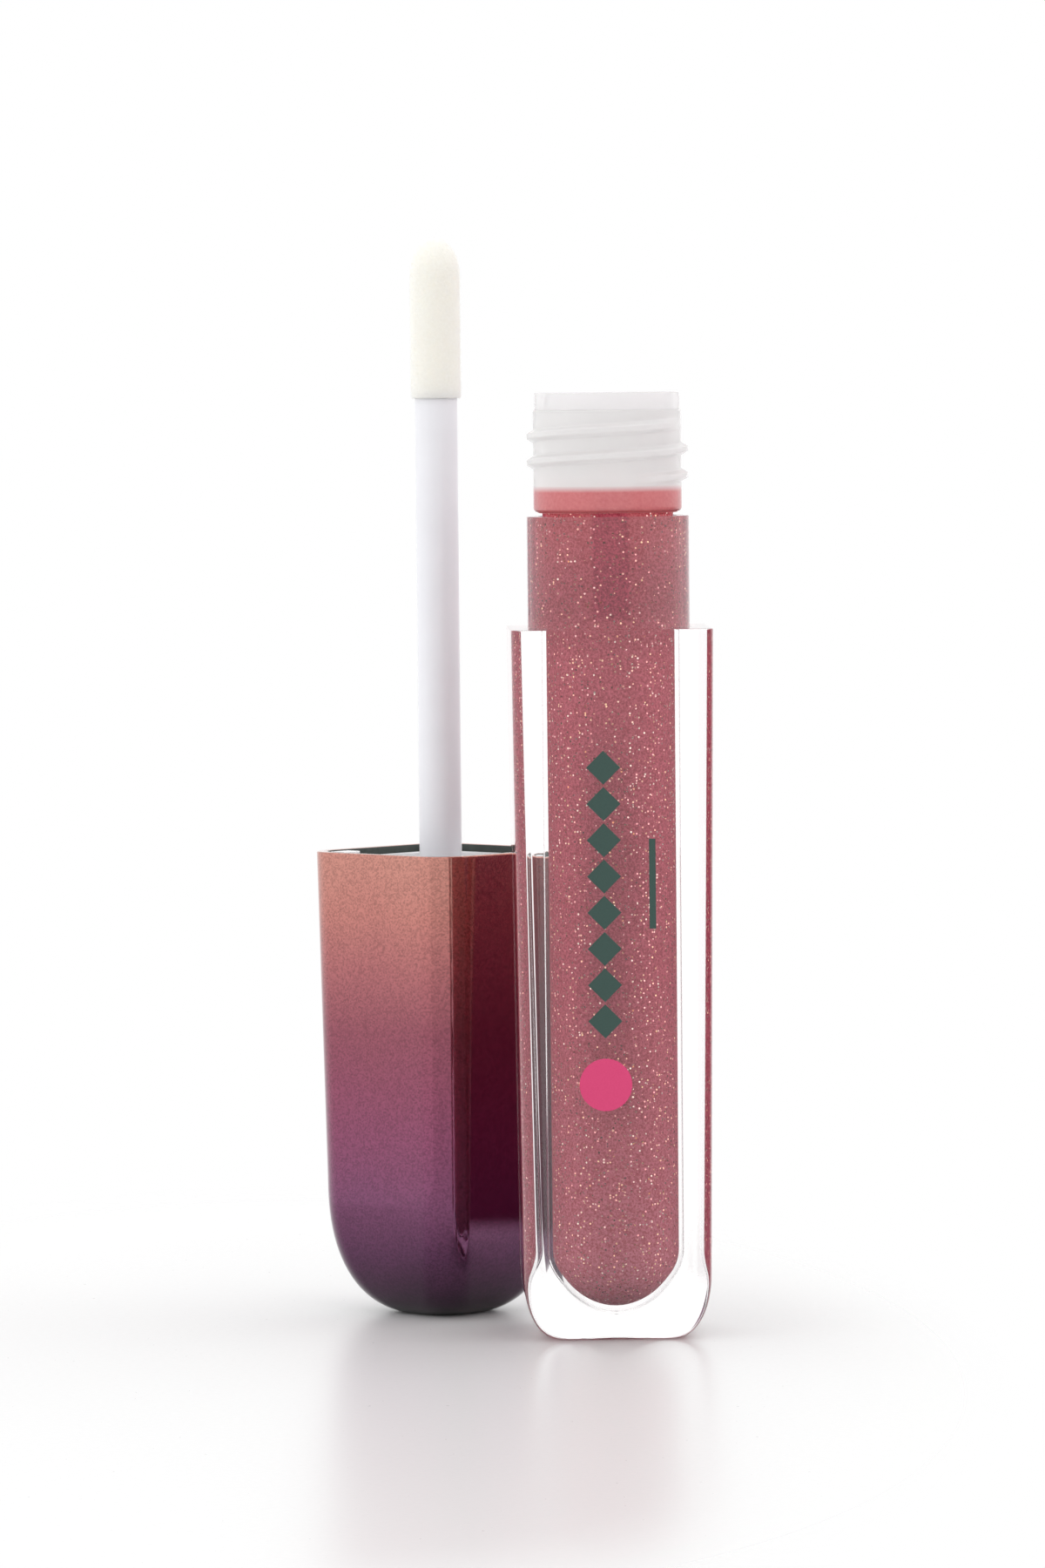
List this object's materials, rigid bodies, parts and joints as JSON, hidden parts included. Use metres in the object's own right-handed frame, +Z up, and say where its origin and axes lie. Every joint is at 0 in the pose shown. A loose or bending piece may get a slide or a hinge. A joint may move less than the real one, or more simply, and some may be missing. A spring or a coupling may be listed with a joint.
{
  "type": "lip gloss tube",
  "caption": "Square clear lip gloss tube with a threaded neck, and its screw cap with a flocked applicator wand standing beside it.",
  "frame": {"origin": "centre of the bottle's foot, on the surface that the bottle and the cap stand on", "axes": "+Z up along the bottle's axis; -Y is the printed front of the bottle; +X is to the right of someone who faces the print"},
  "size_m": [0.0362, 0.0397, 0.1013],
  "materials": {
    "clear_wall": "polished clear moulded plastic",
    "natural_pp": "translucent natural polypropylene",
    "wiper_ldpe": "soft translucent polyethylene",
    "gloss": "pearly rose gloss with fine shimmer",
    "print_dark": "dark green foil",
    "print_pink": "bright pink foil",
    "cap_coating": "metallic coating fading from copper to dark plum",
    "white_pp": "white moulded plastic",
    "seal": "soft foam seal",
    "stem": "smooth white moulded plastic",
    "tip_core": "moulded plastic under the flock",
    "flock": "short cream flock fibres"
  },
  "bodies": {
    "bottle": {"outer_body": "clear_wall", "inner_bottle": "natural_pp", "wiper": "wiper_ldpe", "gloss_fill": "gloss", "print_lozenges": "print_dark", "print_dot": "print_pink"},
    "seal": {"seal_ring": "seal"},
    "cap": {"cap_shell": "cap_coating", "cap_insert": "white_pp", "wand_stem": "stem", "tip_core": "tip_core", "tip_flock": "flock"}
  },
  "joints": [
    {"name": "cap_lift", "type": "slide", "parent": "bottle", "child": "seal", "axis": [0, 0, 1], "range_m": [0, 0.12]},
    {"name": "cap_turn", "type": "hinge", "parent": "seal", "child": "cap", "pos_m": [-0.0153, 0.0188, 0.0212], "axis": [0, 0, 1], "continuous": true}
  ]
}
